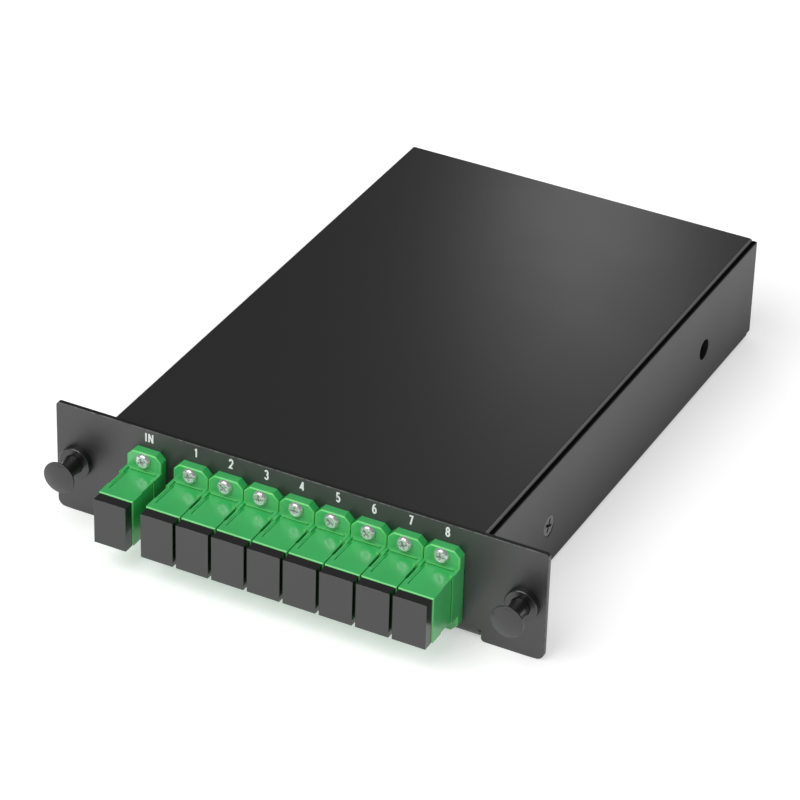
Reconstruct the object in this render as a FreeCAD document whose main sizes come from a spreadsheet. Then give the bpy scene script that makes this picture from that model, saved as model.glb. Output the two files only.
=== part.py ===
# Rack cassette that holds a one to eight planar fibre splitter.
#
# A folded sheet chassis carries the wide front panel with its two ears. A folded cover closes it.
# Nine flanged adapters stand in a row on the panel, each with a dust cap, and an input stands
# apart from eight outputs. A push-pull fastener sits in each ear. Inside lie the splitter tube,
# its fan-out block, the leads and the nine plugs that sit in the backs of the adapters.
#
# Millimetres. X runs to the right seen from the front, Y to the rear, Z up. Every piece is drawn
# with Y = 0 on the front face of the panel, and then set back so that the origin lies under the
# middle of the whole cassette.
import FreeCAD, Part
import math
import os

import Sketcher

V = FreeCAD.Vector

SIZES = [
    ("panel_width", 130.0, "front panel over both ears"),
    ("panel_height", 29.4, "front panel"),
    ("sheet", 1.2, "steel sheet of the chassis"),
    ("lid_sheet", 1.0, "steel sheet of the cover"),
    ("seam", 0.1, "gap between folded sheets that lie side by side"),
    ("box_width", 99.8, "box behind the panel, over both side walls"),
    ("box_depth", 155.6, "front face of the panel to the outside of the rear wall"),
    ("box_height", 28.9, "underside of the floor to the top of the cover"),
    ("front_bend", 3.0, "outer radius of the fold under the panel"),
    ("side_bend", 1.8, "outer radius of the folds along the floor"),
    ("lid_bend", 0.8, "outer radius of the folds of the cover"),
    ("lid_proud", 0.5, "cover above the top edge of the side wall"),
    ("lid_lift", 0.4, "lower edge of the cover's wall above the ground"),
    ("flange_drop", 21.5, "depth of the cover's inner flange"),
    ("flange_rise", 20.0, "height of the chassis flange inside the cover's wall"),
    ("relief", 0.9, "width of the notch beside the front fold"),
    ("ear_corner", 2.0, "radius of the ears' outer lower corners"),
    ("notch_corner", 1.0, "radius of the ears' inner lower corners"),
    ("top_corner", 1.0, "radius of the panel's upper corners"),
    ("edge_round", 0.35, "rounded top edge of the side wall"),
    ("port_pitch", 9.45, "spacing of the eight outputs"),
    ("port_reach", 39.4, "middle of the panel to the first and to the last port"),
    ("port_level", 13.3, "middle of the adapters above the ground"),
    ("flange_width", 9.25, "adapter flange"),
    ("flange_height", 22.0, "adapter flange"),
    ("flange_sheet", 2.5, "thickness of the adapter flange"),
    ("flange_cut", 1.6, "cut corners of the adapter flange"),
    ("screw_spread", 18.0, "spacing of the two screws of an adapter"),
    ("housing_width", 9.15, "adapter housing"),
    ("housing_height", 12.4, "adapter housing"),
    ("housing_front", 15.3, "adapter housing ahead of the panel"),
    ("housing_rear", 12.5, "adapter housing behind the panel's front face"),
    ("collar_width", 9.35, "thicker stretch of the housing beside the flange"),
    ("collar_height", 13.0, "thicker stretch of the housing beside the flange"),
    ("collar_reach", 5.6, "front end of the thicker stretch ahead of the panel"),
    ("recess_depth", 0.2, "shallow recess in both sides of the housing"),
    ("recess_lip", 4.3, "plain strip between that recess and the mouth"),
    ("rim_cut", 0.25, "broken edges of the housing's mouth"),
    ("field_depth", 0.15, "sunk field on top of the housing"),
    ("field_side", 0.7, "plain strip left of the sunk field"),
    ("field_lip", 4.4, "plain strip between the sunk field and the mouth"),
    ("field_ledge", 0.5, "plain strip between the sunk field and the flange"),
    ("groove_depth", 0.35, "long groove beside the sunk field"),
    ("groove_width", 0.3, "long groove beside the sunk field"),
    ("groove_side", 1.1, "plain strip left of the long groove"),
    ("groove_lip", 2.5, "plain strip between the long groove and the mouth"),
    ("groove_ledge", 1.8, "plain strip between the long groove and the flange"),
    ("bay_width", 7.6, "plug bay of the adapter"),
    ("bay_height", 9.2, "plug bay of the adapter"),
    ("key_width", 2.8, "keyway in the roof of the plug bay"),
    ("key_depth", 0.8, "keyway in the roof of the plug bay"),
    ("web", 1.5, "wall across the middle of the adapter"),
    ("web_front", 1.75, "front of that wall ahead of the panel"),
    ("barrel_outer", 4.4, "square barrel that holds the alignment sleeve"),
    ("barrel_bore", 3.24, "bore of the barrel"),
    ("barrel_half", 6.0, "half of the length of the barrel"),
    ("sleeve_outer", 3.2, "alignment sleeve"),
    ("sleeve_bore", 2.5, "alignment sleeve"),
    ("sleeve_length", 11.4, "alignment sleeve"),
    ("cutout_gap", 0.15, "panel cut-out around an adapter, each side"),
    ("screw_hole", 2.2, "screw hole in the adapter flange"),
    ("thread", 2.0, "adapter screw"),
    ("tapped_gap", 0.04, "tapped hole around its screw, on the radius"),
    ("screw_head", 3.8, "head of the adapter screw"),
    ("head_height", 1.4, "head of the adapter screw"),
    ("screw_length", 5.0, "shank of the adapter screw"),
    ("cap_width", 8.6, "dust cap"),
    ("cap_height", 12.1, "dust cap"),
    ("cap_block", 2.9, "dust cap ahead of the adapter"),
    ("cap_drop", 0.15, "dust cap's block below the middle of its plug"),
    ("cap_plug", 7.9, "depth of the dust cap's plug"),
    ("plug_gap", 0.15, "plug inside the bay, each side"),
    ("knob_inset", 5.7, "middle of each fastener to the end of the panel"),
    ("knob_level", 14.4, "fasteners above the ground"),
    ("knob_head", 8.3, "head of the plunger"),
    ("knob_thick", 1.8, "head of the plunger with its taper"),
    ("knob_rim", 0.6, "straight rim of the plunger's head"),
    ("knob_edge", 0.2, "broken front edge of the plunger's head and of the collar"),
    ("knob_gap", 5.7, "clear neck between the collar and the pulled head"),
    ("neck", 4.8, "shaft of the plunger"),
    ("neck_tip", 5.0, "end of the shaft behind the panel's front face"),
    ("run_gap", 0.05, "shaft inside the bush, on the radius"),
    ("bush_collar", 8.4, "collar of the bush"),
    ("bush_thick", 1.8, "collar of the bush"),
    ("bush_shank", 6.8, "split shank of the bush"),
    ("bush_tip", 5.4, "end of the shank behind the panel's front face"),
    ("bush_slot", 1.0, "slit in the shank"),
    ("bush_fit", 0.1, "ear hole around the shank, on the radius"),
    ("wall_screw_y", 33.3, "cover screw behind the panel's front face"),
    ("rear_hole_y", 124.2, "rear side hole behind the panel's front face"),
    ("side_level", 12.7, "side screw and side hole above the ground"),
    ("wall_screw", 3.0, "cover screw"),
    ("wall_head", 5.8, "countersunk head of the cover screw"),
    ("wall_screw_length", 4.5, "cover screw over all"),
    ("rear_hole", 5.5, "rear side hole"),
    ("hole_ease", 0.6, "extra size of the hole in the sheet behind"),
    ("plug_front", 5.3, "front of the rear plug's housing"),
    ("plug_rear", 24.0, "rear of the rear plug's housing"),
    ("boot_end", 36.0, "end of the rear plug's boot"),
    ("boot", 4.6, "square boot of the rear plug"),
    ("ferrule", 2.46, "ferrule of the rear plug"),
    ("ferrule_tip", 0.9, "tip of the ferrule ahead of the panel"),
    ("lead", 0.9, "buffered fibre lead"),
    ("lead_pitch", 1.3, "spacing of the leads in the fan-out block"),
    ("fan_front", 80.0, "front of the fan-out block"),
    ("fan_length", 8.0, "fan-out block"),
    ("fan_width", 12.0, "fan-out block"),
    ("module_length", 40.0, "splitter tube"),
    ("module_size", 4.0, "splitter tube, width and height"),
    ("saddle_length", 5.0, "saddle clip along the splitter"),
    ("saddle_sheet", 0.8, "saddle clip"),
    ("saddle_foot", 3.0, "foot of the saddle clip"),
    ("guide_width", 3.2, "lead guide"),
    ("guide_length", 5.0, "lead guide"),
]

OUTPUTS = 8
SCREW_SIDES = 8
HEAD_SIDES = 10
SLEEVE_SIDES = 12
BEND_STEPS = 4
TURN_STEPS = 10
TINY = 1e-4


class Term:
    """A number together with the sheet formula that gives it."""

    def __init__(self, value, text):
        self.value = value
        self.text = text

    def __add__(self, other):
        other = term(other)
        return Term(self.value + other.value, "(%s + %s)" % (self.text, other.text))

    def __sub__(self, other):
        other = term(other)
        return Term(self.value - other.value, "(%s - %s)" % (self.text, other.text))

    def __mul__(self, other):
        other = term(other)
        return Term(self.value * other.value, "(%s * %s)" % (self.text, other.text))

    def __truediv__(self, other):
        other = term(other)
        return Term(self.value / other.value, "(%s / %s)" % (self.text, other.text))

    def __neg__(self):
        return Term(-self.value, "(0 - %s)" % self.text)


def term(thing):
    """Take a plain number or a Term as a Term."""
    if isinstance(thing, Term):
        return thing
    return Term(float(thing), "(%r)" % float(thing))


class Sizes:
    """The driving dimensions, read from the sheet by name."""

    def __init__(self, document, rows):
        self.cells = document.addObject("Spreadsheet::Sheet", "Sizes")
        self.values = {}
        for number, (alias, value, note) in enumerate(rows, start=1):
            self.cells.set("A%d" % number, str(value))
            self.cells.set("B%d" % number, note)
            self.cells.setAlias("A%d" % number, alias)
            self.values[alias] = value
        document.recompute()

    def __getattr__(self, alias):
        return Term(self.values[alias], "Sizes." + alias)


doc = FreeCAD.newDocument("fibre_splitter_cassette")
size = Sizes(doc, SIZES)

# Places that several pieces share
half_box = size.box_width / 2
wall_inner = half_box - size.sheet
flange_outer = wall_inner - size.seam
lid_wall_inner = half_box - size.lid_sheet
rib_outer = lid_wall_inner - size.seam
floor_right = half_box - size.side_bend
floor_left = rib_outer - size.side_bend
wall_top = size.box_height - size.lid_proud
lid_front = size.sheet + size.seam
face_y = (size.housing_front + size.cap_block - size.box_depth) / 2
web_rear = size.web - size.web_front
barrel_middle = web_rear - size.web / 2
lead_level = size.sheet + size.module_size / 2
input_x = -size.port_reach
knob_reach = size.panel_width / 2 - size.knob_inset
fan_x = size.port_reach - size.port_pitch * (OUTPUTS - 1) / 2
fan_rear = size.fan_front + size.fan_length
module_rear = fan_rear + size.module_length

parts = []
pockets = []


def bind(thing, target, value):
    """Drive one property of a document object by a sheet formula."""
    thing.setExpression(target, term(value).text)


def new_body(name, across=0, up=0, listed=True):
    """Start a body whose own zero lies on the panel's front face, at the given X and Z."""
    body = doc.addObject("PartDesign::Body", name)
    body.Label = name
    bind(body, "Placement.Base.x", across)
    bind(body, "Placement.Base.y", face_y)
    bind(body, "Placement.Base.z", up)
    if listed:
        parts.append(body)
    return body


def new_sketch(body, role, name, offset=0):
    """Put a sketch on one of the body's own planes, moved along the plane's normal."""
    sketch = body.newObject("Sketcher::SketchObject", name)
    planes = [item for item in body.Origin.OriginFeatures if item.Role == role]
    sketch.AttachmentSupport = [(planes[0], "")]
    sketch.MapMode = "FlatFace"
    bind(sketch, "AttachmentOffset.Base.z", offset)
    return sketch


def front_sketch(body, name, y=0):
    """Sketch in X and Z at the given Y. The plane's normal points forward, along -Y."""
    return new_sketch(body, "XZ_Plane", name, -term(y))


def add_rules(sketch, rules):
    """Add constraints in one go, and bind those that carry a sheet value."""
    first = sketch.ConstraintCount
    sketch.addConstraint([Sketcher.Constraint(*rule) for rule, _ in rules])
    for number, (_, value) in enumerate(rules, start=first):
        if value is not None:
            bind(sketch, "Constraints[%d]" % number, value)


def held_point(geometry, point, place):
    """Rules that hold one point of the sketch at its distances from the origin."""
    return [(("DistanceX", -1, 1, geometry, point, place[0].value), place[0]),
            (("DistanceY", -1, 1, geometry, point, place[1].value), place[1])]


def toward(corner, other, radius):
    """Step from a corner towards its neighbour by the radius, along X or along Y."""
    if radius is None:
        return corner[0], corner[1]
    step = [0, 0]
    for axis in (0, 1):
        gap = other[axis].value - corner[axis].value
        if abs(gap) > TINY:
            step[axis] = math.copysign(1, gap)
    return corner[0] + radius * step[0], corner[1] + radius * step[1]


def flat(place):
    """A sketch point as a vector."""
    return V(place[0].value, place[1].value, 0)


def outline(sketch, corners):
    """Draw a closed outline through corners, each held by the sheet.

    A third number rounds a square corner by that radius.
    """
    corners = [(term(corner[0]), term(corner[1]), corner[2] if len(corner) > 2 else None)
               for corner in corners]
    count = len(corners)
    first = sketch.GeometryCount
    shapes = []
    rules = []
    ends = []
    for index, corner in enumerate(corners):
        following = corners[(index + 1) % count]
        start = toward(corner, following, corner[2])
        end = toward(following, corner, following[2])
        ends.append((start, end))
        shapes.append(Part.LineSegment(flat(start), flat(end)))
    for index, corner in enumerate(corners):
        line = first + index
        before = first + (index - 1) % count
        start = ends[index][0]
        end = ends[index - 1][1]
        rules += held_point(line, 1, start)
        if corner[2] is None:
            rules.append((("Coincident", before, 2, line, 1), None))
        else:
            rules += held_point(before, 2, end)
            arc, arc_rules = round_corner(first + len(shapes), before, line, corner, end, start)
            shapes.append(arc)
            rules += arc_rules
    sketch.addGeometry(shapes, False)
    add_rules(sketch, rules)
    return sketch


def round_corner(number, before, line, corner, start, end):
    """Quarter circle that joins two lines at right angles, and the rules that hold it."""
    start, end, sharp = flat(start), flat(end), flat(corner)
    middle = start + end - sharp
    through = middle + (sharp - middle) * (corner[2].value / (sharp - middle).Length)
    left_turn = (end - start).cross(sharp - start).z < 0
    first, last = (1, 2) if left_turn else (2, 1)
    return Part.Arc(start, through, end), [
        (("Coincident", before, 2, number, first), None),
        (("Coincident", line, 1, number, last), None),
        (("Radius", number, corner[2].value), corner[2])]


def rectangle(sketch, left, right, low, high):
    """Draw an upright rectangle between four sheet values."""
    return outline(sketch, [(left, low), (right, low), (right, high), (left, high)])


def centred(sketch, width, height, middle=0):
    """Draw a rectangle about the sketch's vertical axis, at the given height."""
    middle = term(middle)
    return rectangle(sketch, -width / 2, width / 2, middle - height / 2, middle + height / 2)


def circle(sketch, across, up, diameter):
    """Draw a circle, its middle and its diameter held by the sheet."""
    place = (term(across), term(up))
    diameter = term(diameter)
    number = sketch.addGeometry(Part.Circle(flat(place), V(0, 0, 1), diameter.value / 2), False)
    rules = held_point(number, 3, place)
    rules.append((("Diameter", number, diameter.value), diameter))
    add_rules(sketch, rules)
    return sketch


def many_sided(sketch, across, up, diameter, sides):
    """Draw a small round as a regular outline with few sides, so that what repeats stays light."""
    across, up = term(across), term(up)
    corners = []
    for index in range(sides):
        angle = 2 * math.pi * (index + 0.5) / sides
        corners.append((across + diameter * (math.cos(angle) / 2),
                        up + diameter * (math.sin(angle) / 2)))
    return outline(sketch, corners)


def pad(body, sketch, length, along_normal=False):
    """Raise a solid from a sketch: against its normal, which is rearward for a front sketch."""
    feature = body.newObject("PartDesign::Pad", sketch.Label + "_pad")
    feature.Profile = sketch
    feature.Reversed = not along_normal
    bind(feature, "Length", length)
    return feature


def pocket(body, sketch, length, along_normal=False):
    """Cut a sketch away, against its normal unless told otherwise."""
    feature = body.newObject("PartDesign::Pocket", sketch.Label + "_pocket")
    feature.Profile = sketch
    feature.Reversed = along_normal
    bind(feature, "Length", length)
    pockets.append(feature)
    return feature


def turned(body, name, profile):
    """Turn a profile of radius and Y about the body's Y axis."""
    sketch = outline(new_sketch(body, "XY_Plane", name), profile)
    feature = body.newObject("PartDesign::Revolution", name + "_turned")
    feature.Profile = sketch
    feature.ReferenceAxis = (sketch, ["V_Axis"])
    feature.Angle = 360.0
    return feature


def edges_near(body, points):
    """Name the edges of the body's solid that pass through the given points."""
    doc.recompute()
    names = []
    for point in points:
        probe = Part.Vertex(V(*[term(value).value for value in point]))
        gaps = []
        for number, edge in enumerate(body.Tip.Shape.Edges, start=1):
            gaps.append((edge.distToShape(probe)[0], number))
        gap, number = min(gaps)
        if gap > 1e-3:
            raise RuntimeError("no edge of %s near %s" % (body.Label, probe.Point))
        names.append("Edge%d" % number)
    return names


def dress(body, kind, name, points, amount):
    """Fillet or chamfer the edges that pass through the given points."""
    base = body.Tip
    names = edges_near(body, points)
    feature = body.newObject("PartDesign::" + kind, name)
    feature.Base = (base, names)
    bind(feature, "Radius" if kind == "Fillet" else "Size", amount)
    return feature


def gather(name, pieces):
    """Keep like pieces as one node of separate solids."""
    group = doc.addObject("Part::Compound", name)
    group.Label = name
    group.Links = pieces
    parts.append(group)
    return group


def port_places():
    """Name and X of each port, the input first."""
    places = [("in", input_x)]
    for index in range(OUTPUTS):
        back = size.port_pitch * (OUTPUTS - 1 - index)
        places.append(("%d" % (index + 1), size.port_reach - back))
    return places


def screw_passage(outer_sheet):
    """Narrow end of the countersunk hole that leaves a thin land in the outer sheet."""
    return size.wall_head + size.seam * 2 - (outer_sheet - size.seam) * 2


def side_holes(sketch, outer_sheet):
    """Draw the cover screw's hole and the rear side hole of an outer wall."""
    circle(sketch, size.wall_screw_y, size.side_level, screw_passage(outer_sheet))
    circle(sketch, size.rear_hole_y, size.side_level, size.rear_hole)


def sink_hole(body, face, outer_sheet):
    """Countersink the cover screw's hole from the outer face of a wall."""
    rim = (face, size.wall_screw_y + screw_passage(outer_sheet) / 2, size.side_level)
    dress(body, "Chamfer", "countersink", [rim], outer_sheet - size.seam)


def tapped_pair(body, name, across):
    """Cut the two tapped holes of one adapter through the panel."""
    sketch = front_sketch(body, name)
    tapped = size.thread + size.tapped_gap * 2
    for side in (-1, 1):
        up = size.port_level + size.screw_spread * side / 2
        many_sided(sketch, across, up, tapped, SCREW_SIDES)
    return pocket(body, sketch, size.sheet)


def make_chassis():
    """Floor, front panel, rear wall, right wall and left flange, folded from one sheet."""
    body = new_body("chassis")
    depth = size.box_depth
    sheet = size.sheet
    panel_top = size.panel_height
    rear_top = size.box_height - size.lid_sheet - size.seam

    # Front panel, floor and rear wall as one fold along X
    strip = new_sketch(body, "YZ_Plane", "long_fold", -floor_right)
    fold = size.front_bend
    bend = size.side_bend
    outline(strip, [(0, 0, fold), (depth, 0, bend), (depth, rear_top), (depth - sheet, rear_top),
                    (depth - sheet, sheet, bend - sheet), (sheet, sheet, fold - sheet),
                    (sheet, panel_top), (0, panel_top)])
    pad(body, strip, floor_right * 2, along_normal=True)

    # The floor is narrower on the left, where the cover's wall passes outside the flange
    narrow = front_sketch(body, "narrow_floor", fold)
    rectangle(narrow, -floor_right, -floor_left, 0, rear_top)
    pocket(body, narrow, depth - fold)
    back = front_sketch(body, "rear_plate", depth - sheet)
    rectangle(back, -rib_outer, flange_outer, bend, rear_top)
    pad(body, back, sheet)

    # Right wall and left flange, folded up from the floor
    sides = front_sketch(body, "side_fold", fold)
    outline(sides, [(-rib_outer, 0, bend), (half_box, 0, bend), (half_box, wall_top),
                    (wall_inner, wall_top), (wall_inner, sheet, bend - sheet),
                    (sheet - rib_outer, sheet, bend - sheet),
                    (sheet - rib_outer, size.flange_rise), (-rib_outer, size.flange_rise)])
    pad(body, sides, depth - fold - bend)
    ends = front_sketch(body, "wall_ends", lid_front)
    rectangle(ends, wall_inner, half_box, bend, wall_top)
    pad(body, ends, depth - lid_front)
    dress(body, "Fillet", "wall_top_edge", [(half_box, depth / 2, wall_top)], size.edge_round)

    # Panel with its ears, notched where the fold below it ends
    plate = front_sketch(body, "panel_plate")
    edge = size.panel_width / 2
    notch = floor_right + size.relief
    low = size.ear_corner
    inner = size.notch_corner
    outline(plate, [(-edge, 0, low), (-notch, 0, inner), (-notch, fold), (notch, fold),
                    (notch, 0, inner), (edge, 0, low), (edge, panel_top, size.top_corner),
                    (-edge, panel_top, size.top_corner)])
    pad(body, plate, sheet)

    # Cut-outs: one for the input and a long one for the eight outputs
    opening = size.collar_width + size.cutout_gap * 2
    tall = size.housing_height + size.cutout_gap * 2
    low = size.port_level - tall / 2
    high = size.port_level + tall / 2
    holes = front_sketch(body, "cut_outs")
    rectangle(holes, input_x - opening / 2, input_x + opening / 2, low, high)
    row_start = size.port_reach - size.port_pitch * (OUTPUTS - 1) - opening / 2
    rectangle(holes, row_start, size.port_reach + opening / 2, low, high)
    ear_hole = size.bush_shank + size.bush_fit * 2
    for side in (-1, 1):
        circle(holes, knob_reach * side, size.knob_level, ear_hole)
    pocket(body, holes, sheet)

    # Tapped holes: a pair at the input, and a pair at the first output that is then repeated
    tapped_pair(body, "input_taps", input_x)
    first_output = size.port_reach - size.port_pitch * (OUTPUTS - 1)
    pair = tapped_pair(body, "output_taps", first_output)
    row = body.newObject("PartDesign::LinearPattern", "output_taps_row")
    row.Originals = [pair]
    row.Direction = (pair.Profile[0], ["H_Axis"])
    bind(row, "Length", size.port_pitch * (OUTPUTS - 1))
    row.Occurrences = OUTPUTS
    body.Tip = row

    # Side holes: a countersunk one for the cover screw in the right wall, tapped on the left
    right = new_sketch(body, "YZ_Plane", "right_holes", half_box)
    side_holes(right, sheet)
    pocket(body, right, sheet)
    sink_hole(body, half_box, sheet)
    left = new_sketch(body, "YZ_Plane", "left_holes", -rib_outer)
    circle(left, size.wall_screw_y, size.side_level, size.wall_screw + size.seam)
    circle(left, size.rear_hole_y, size.side_level, size.rear_hole + size.hole_ease)
    pocket(body, left, sheet, along_normal=True)
    return body


def make_cover():
    """Top and left wall, with an inner flange on the right, folded from one sheet."""
    body = new_body("cover")
    depth = size.box_depth
    lid = size.lid_sheet
    top = size.box_height
    profile = front_sketch(body, "cover_fold", lid_front)
    bend = size.lid_bend
    outline(profile, [(-half_box, size.lid_lift), (lid - half_box, size.lid_lift),
                      (lid - half_box, top - lid), (flange_outer - lid, top - lid),
                      (flange_outer - lid, top - size.flange_drop),
                      (flange_outer, top - size.flange_drop), (flange_outer, top, bend),
                      (-half_box, top, bend)])
    pad(body, profile, depth - lid_front)

    # The inner flange stops short of the rear wall
    clear = size.sheet + size.seam
    trim = front_sketch(body, "flange_trim", depth - clear)
    rectangle(trim, flange_outer - lid, flange_outer, 0, top - lid - size.seam)
    pocket(body, trim, clear)

    # Side holes, the mirror image of the chassis
    left = new_sketch(body, "YZ_Plane", "left_holes", -half_box)
    side_holes(left, lid)
    pocket(body, left, lid, along_normal=True)
    sink_hole(body, -half_box, lid)
    right = new_sketch(body, "YZ_Plane", "right_holes", flange_outer)
    circle(right, size.wall_screw_y, size.side_level, size.wall_screw + size.seam)
    circle(right, size.rear_hole_y, size.side_level, size.rear_hole + size.hole_ease)
    pocket(body, right, lid)
    return body


def make_adapter(name, across):
    """Flanged adapter: a plug bay at each end, and a barrel for the alignment sleeve between."""
    body = new_body(name, across, size.port_level)
    wide = size.flange_width / 2
    tall = size.flange_height / 2
    cut = size.flange_cut
    front = -size.housing_front

    flange = front_sketch(body, "flange")
    outline(flange, [(cut - wide, -tall), (wide - cut, -tall), (wide, cut - tall),
                     (wide, tall - cut), (wide - cut, tall), (cut - wide, tall),
                     (-wide, tall - cut), (-wide, cut - tall)])
    pad(body, flange, size.flange_sheet, along_normal=True)
    collar = centred(front_sketch(body, "collar"), size.collar_width, size.collar_height)
    pad(body, collar, size.collar_reach, along_normal=True)
    housing = front_sketch(body, "housing", front)
    centred(housing, size.housing_width, size.housing_height)
    pad(body, housing, size.housing_front + size.housing_rear)
    side = size.housing_width / 2
    roof = size.housing_height / 2
    dress(body, "Chamfer", "mouth_edges",
          [(0, front, roof), (0, front, -roof), (side, front, 0), (-side, front, 0)],
          size.rim_cut)

    # Shallow recess in both sides, between the lip and the collar
    base = size.housing_height / 2
    start = size.recess_lip - size.housing_front
    recess = front_sketch(body, "side_recess", start)
    rectangle(recess, -side - size.recess_depth, size.recess_depth - side, -base, base)
    rectangle(recess, side - size.recess_depth, side + size.recess_depth, -base, base)
    pocket(body, recess, -start - size.collar_reach)

    # Sunk field on the roof with a long groove on its left, both cut from the collar too
    roof = size.collar_height / 2
    for name, left, right, depth, lip, ledge in (
            ("field", size.field_side, size.housing_width - size.field_side, size.field_depth,
             size.field_lip, size.field_ledge),
            ("groove", size.groove_side, size.groove_side + size.groove_width,
             size.groove_depth, size.groove_lip, size.groove_ledge)):
        start = lip - size.housing_front
        recess = front_sketch(body, name, start)
        rectangle(recess, left - side, right - side, base - depth, roof)
        pocket(body, recess, -start - size.flange_sheet - ledge)

    # Plug bays with their keyways, front and rear
    for end, start, length in (("front", front, size.housing_front - size.web_front),
                               ("rear", web_rear, size.housing_rear - web_rear)):
        bay = front_sketch(body, end + "_bay", start)
        key = size.key_width / 2
        bay_side = size.bay_width / 2
        bay_roof = size.bay_height / 2
        outline(bay, [(-bay_side, -bay_roof), (bay_side, -bay_roof), (bay_side, bay_roof),
                      (key, bay_roof), (key, bay_roof + size.key_depth),
                      (-key, bay_roof + size.key_depth), (-key, bay_roof),
                      (-bay_side, bay_roof)])
        pocket(body, bay, length)
    barrel = front_sketch(body, "barrel", barrel_middle - size.barrel_half)
    centred(barrel, size.barrel_outer, size.barrel_outer)
    pad(body, barrel, size.barrel_half * 2)
    bore = front_sketch(body, "bore", barrel_middle - size.barrel_half)
    many_sided(bore, 0, 0, size.barrel_bore, SLEEVE_SIDES)
    pocket(body, bore, size.barrel_half * 2)

    holes = front_sketch(body, "screw_holes", -size.flange_sheet)
    for sign in (-1, 1):
        many_sided(holes, 0, size.screw_spread * sign / 2, size.screw_hole, SCREW_SIDES)
    pocket(body, holes, size.flange_sheet)
    return body


def make_dust_cap(name, across):
    """Block that shows ahead of the adapter, with the plug that fills the mouth of the bay."""
    body = new_body(name, across, size.port_level)
    front = -(size.housing_front + size.cap_block)
    block = front_sketch(body, "block", front)
    centred(block, size.cap_width, size.cap_height, -size.cap_drop)
    pad(body, block, size.cap_block)
    plug = front_sketch(body, "plug", -size.housing_front)
    centred(plug, size.bay_width - size.plug_gap * 2, size.bay_height - size.plug_gap * 2)
    pad(body, plug, size.cap_plug)
    return body


def make_sleeve(name, across):
    """Ceramic sleeve that lines up the two ferrules."""
    body = new_body(name, across, size.port_level, listed=False)
    ring = front_sketch(body, "ring", barrel_middle - size.sleeve_length / 2)
    many_sided(ring, 0, 0, size.sleeve_outer, SLEEVE_SIDES)
    many_sided(ring, 0, 0, size.sleeve_bore, SLEEVE_SIDES)
    pad(body, ring, size.sleeve_length)
    return body


def make_flange_screw(name, across, up):
    """Pan head screw that holds an adapter flange to the panel."""
    body = new_body(name, across, up, listed=False)
    seat = -size.flange_sheet
    head = front_sketch(body, "head", seat - size.head_height)
    many_sided(head, 0, 0, size.screw_head, HEAD_SIDES)
    pad(body, head, size.head_height)
    shank = front_sketch(body, "shank", seat)
    many_sided(shank, 0, 0, size.thread, SCREW_SIDES)
    pad(body, shank, size.screw_length)
    return body


def make_rear_plug(name, across):
    """Plug in the back of an adapter: housing, ferrule and boot."""
    body = new_body(name, across, size.port_level)
    housing = front_sketch(body, "housing", size.plug_front)
    centred(housing, size.bay_width - size.plug_gap * 2, size.bay_height - size.plug_gap * 2)
    pad(body, housing, size.plug_rear - size.plug_front)
    boot = centred(front_sketch(body, "boot", size.plug_rear), size.boot, size.boot)
    pad(body, boot, size.boot_end - size.plug_rear)
    ferrule = front_sketch(body, "ferrule", -size.ferrule_tip)
    many_sided(ferrule, 0, 0, size.ferrule, SLEEVE_SIDES)
    pad(body, ferrule, size.ferrule_tip + size.plug_front)
    return body


def make_plunger(name, across):
    """Pull knob with its shaft, shown pulled out."""
    body = new_body(name, across, size.knob_level)
    head = size.knob_head / 2
    shaft = size.neck / 2
    back = -(size.bush_thick + size.knob_gap)
    face = back - size.knob_thick
    edge = size.knob_edge
    turned(body, "knob", [(0, face), (head - edge, face), (head, face + edge),
                          (head, face + size.knob_rim), (shaft, back), (shaft, size.neck_tip),
                          (0, size.neck_tip)])
    return body


def make_bush(name, across):
    """Bush of a fastener: a collar on the panel and a split shank behind it."""
    body = new_body(name, across, size.knob_level)
    collar = size.bush_collar / 2
    shank = size.bush_shank / 2
    bore = size.neck / 2 + size.run_gap
    front = -size.bush_thick
    edge = size.knob_edge
    turned(body, "bush", [(bore, front), (collar - edge, front), (collar, front + edge),
                          (collar, 0), (shank, 0), (shank, size.bush_tip),
                          (bore, size.bush_tip)])
    slit = front_sketch(body, "slit", size.sheet * 2)
    centred(slit, size.bush_slot, size.bush_shank + size.bush_slot)
    pocket(body, slit, size.bush_tip - size.sheet * 2)
    return body


def make_wall_screw(name, side, sheet_gap):
    """Countersunk screw through a side wall, its head just under the surface."""
    body = doc.addObject("PartDesign::Body", name)
    bind(body, "Placement.Base.x", (half_box - size.seam / 2) * side)
    bind(body, "Placement.Base.y", face_y + size.wall_screw_y)
    bind(body, "Placement.Base.z", size.side_level)
    head = size.wall_head / 2
    shank = size.wall_screw / 2
    cone = sheet_gap
    end = size.wall_screw_length
    sketch = new_sketch(body, "XY_Plane", "screw")
    along = [(0, 0), (0, head), (cone, head - cone), (cone, shank), (end, shank), (end, 0)]
    outline(sketch, [(-term(x) * side, r) for x, r in along])
    feature = body.newObject("PartDesign::Revolution", "screw_turned")
    feature.Profile = sketch
    feature.ReferenceAxis = (sketch, ["H_Axis"])
    feature.Angle = 360.0
    return body


def make_splitter():
    """Steel tube of the splitter on the floor, and the fan-out block at its front end."""
    for name, width, start, length in (
            ("splitter_tube", size.module_size, fan_rear, size.module_length),
            ("fan_out_block", size.fan_width, size.fan_front, size.fan_length)):
        block = doc.addObject("Part::Box", name)
        block.Label = name
        bind(block, "Length", width)
        bind(block, "Width", length)
        bind(block, "Height", size.module_size)
        bind(block, "Placement.Base.x", fan_x - width / 2)
        bind(block, "Placement.Base.y", face_y + start)
        bind(block, "Placement.Base.z", size.sheet)
        parts.append(block)


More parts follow.
